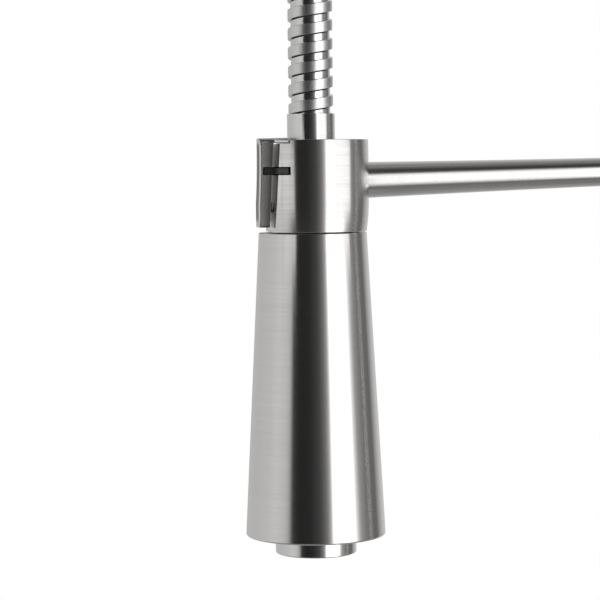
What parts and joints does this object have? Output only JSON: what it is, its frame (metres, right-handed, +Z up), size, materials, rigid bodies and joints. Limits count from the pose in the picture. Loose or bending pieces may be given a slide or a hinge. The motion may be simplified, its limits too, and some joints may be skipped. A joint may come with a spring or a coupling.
{
  "type": "pull-out kitchen faucet",
  "caption": "Tall kitchen faucet with a side lever, a swivelling riser, a docking arm, a strip-wound hose arch and a conical spray head that pulls out of a collar with a thumb latch.",
  "frame": {"origin": "centre of the deck hole at the deck's surface, on the riser's axis", "axes": "+Z up along the riser's axis, -X towards the spray head, -Y towards the lever's hub"},
  "size_m": [0.2632, 0.0955, 0.6441],
  "materials": {
    "brushed_steel": "fine turned and brushed grain",
    "polished_steel": "polished with light hairlines",
    "hose_steel": "bright rolled strip",
    "fastener_steel": "plain",
    "brass": "machined",
    "black_plastic": "fine matte",
    "grey_plastic": "matte",
    "white_plastic": "matte",
    "rubber": "matte",
    "ceramic": "ground ceramic"
  },
  "bodies": {
    "base": {"deck_flange": "brushed_steel", "flange_seal": "rubber", "mounting_shank": "brass", "clamp_gasket": "rubber", "clamp_washer": "fastener_steel", "mounting_nut": "brass", "nut_screws": "fastener_steel", "valve_body": "brushed_steel", "cartridge_seals": "rubber", "cartridge_housing": "white_plastic", "fixed_disc": "ceramic", "cartridge_nut": "brass", "dome_cap": "polished_steel", "riser_lock_screw": "fastener_steel"},
    "mixer": {"cartridge_guide": "grey_plastic", "pivot_pin": "fastener_steel"},
    "mixing_disc": {"moving_disc": "ceramic", "disc_carrier": "grey_plastic"},
    "lever": {"lever_stem": "brushed_steel", "lever_hub": "polished_steel", "lever_rod": "polished_steel", "hub_screw": "fastener_steel", "hub_plug": "polished_steel"},
    "riser": {"swivel_spigot": "brushed_steel", "spigot_rings": "rubber", "spigot_bushes": "black_plastic", "riser_tube": "brushed_steel", "hose_union": "brushed_steel", "union_ring": "rubber", "upper_ferrule": "polished_steel", "strip_wound_hose": "hose_steel", "inner_hose": "white_plastic", "arm_clamp": "brushed_steel", "clamp_screw": "fastener_steel", "support_arm": "brushed_steel", "dock_collar": "brushed_steel", "dock_bush": "black_plastic", "latch_spring": "fastener_steel"},
    "latch": {"latch_paddle": "polished_steel", "latch_plate": "black_plastic", "latch_pin": "fastener_steel"},
    "hose_end": {"lower_ferrule": "polished_steel", "hose_tail": "brass", "tail_rings": "rubber"},
    "spray_head": {"spray_neck": "brushed_steel", "swivel_clip": "fastener_steel", "spray_cone": "brushed_steel", "cone_nut": "brass", "water_tube": "grey_plastic", "tube_ring": "rubber", "check_valve": "white_plastic", "outlet_body": "brass", "aerator_housing": "polished_steel", "aerator_insert": "black_plastic", "aerator_screen": "fastener_steel", "aerator_washer": "rubber"}
  },
  "joints": [
    {"name": "riser_swivel", "type": "hinge", "parent": "base", "child": "riser", "pos_m": [0, 0, 0.122], "axis": [0, 0, 1], "continuous": true},
    {"name": "head_pull", "type": "slide", "parent": "riser", "child": "hose_end", "axis": [0, 0, -1], "range_m": [0, 0.1], "deforming": ["strip_wound_hose", "inner_hose"]},
    {"name": "head_spin", "type": "hinge", "parent": "hose_end", "child": "spray_head", "pos_m": [-0.21, 0, 0.34], "axis": [0, 0, 1], "continuous": true},
    {"name": "latch_press", "type": "slide", "parent": "riser", "child": "latch", "axis": [1, 0, 0], "range_m": [0, 0.0005], "stiffness_N_per_m": 1500, "springref_m": -0.002, "deforming": ["latch_spring"]},
    {"name": "lever_turn", "type": "hinge", "parent": "base", "child": "mixer", "pos_m": [0, -0.0345, 0.066], "axis": [0, -1, 0], "range_deg": [-45, 45]},
    {"name": "lever_lift", "type": "hinge", "parent": "mixer", "child": "lever", "pos_m": [0, -0.0345, 0.066], "axis": [1, 0, 0], "range_deg": [0, 22]},
    {"name": "disc_slide", "type": "slide", "parent": "mixer", "child": "mixing_disc", "axis": [0, 0, 1], "range_m": [0, 0.0054]}
  ],
  "couplings": [
    {"joint": "disc_slide", "follows": "lever_lift", "m_per_rad": 0.014}
  ]
}
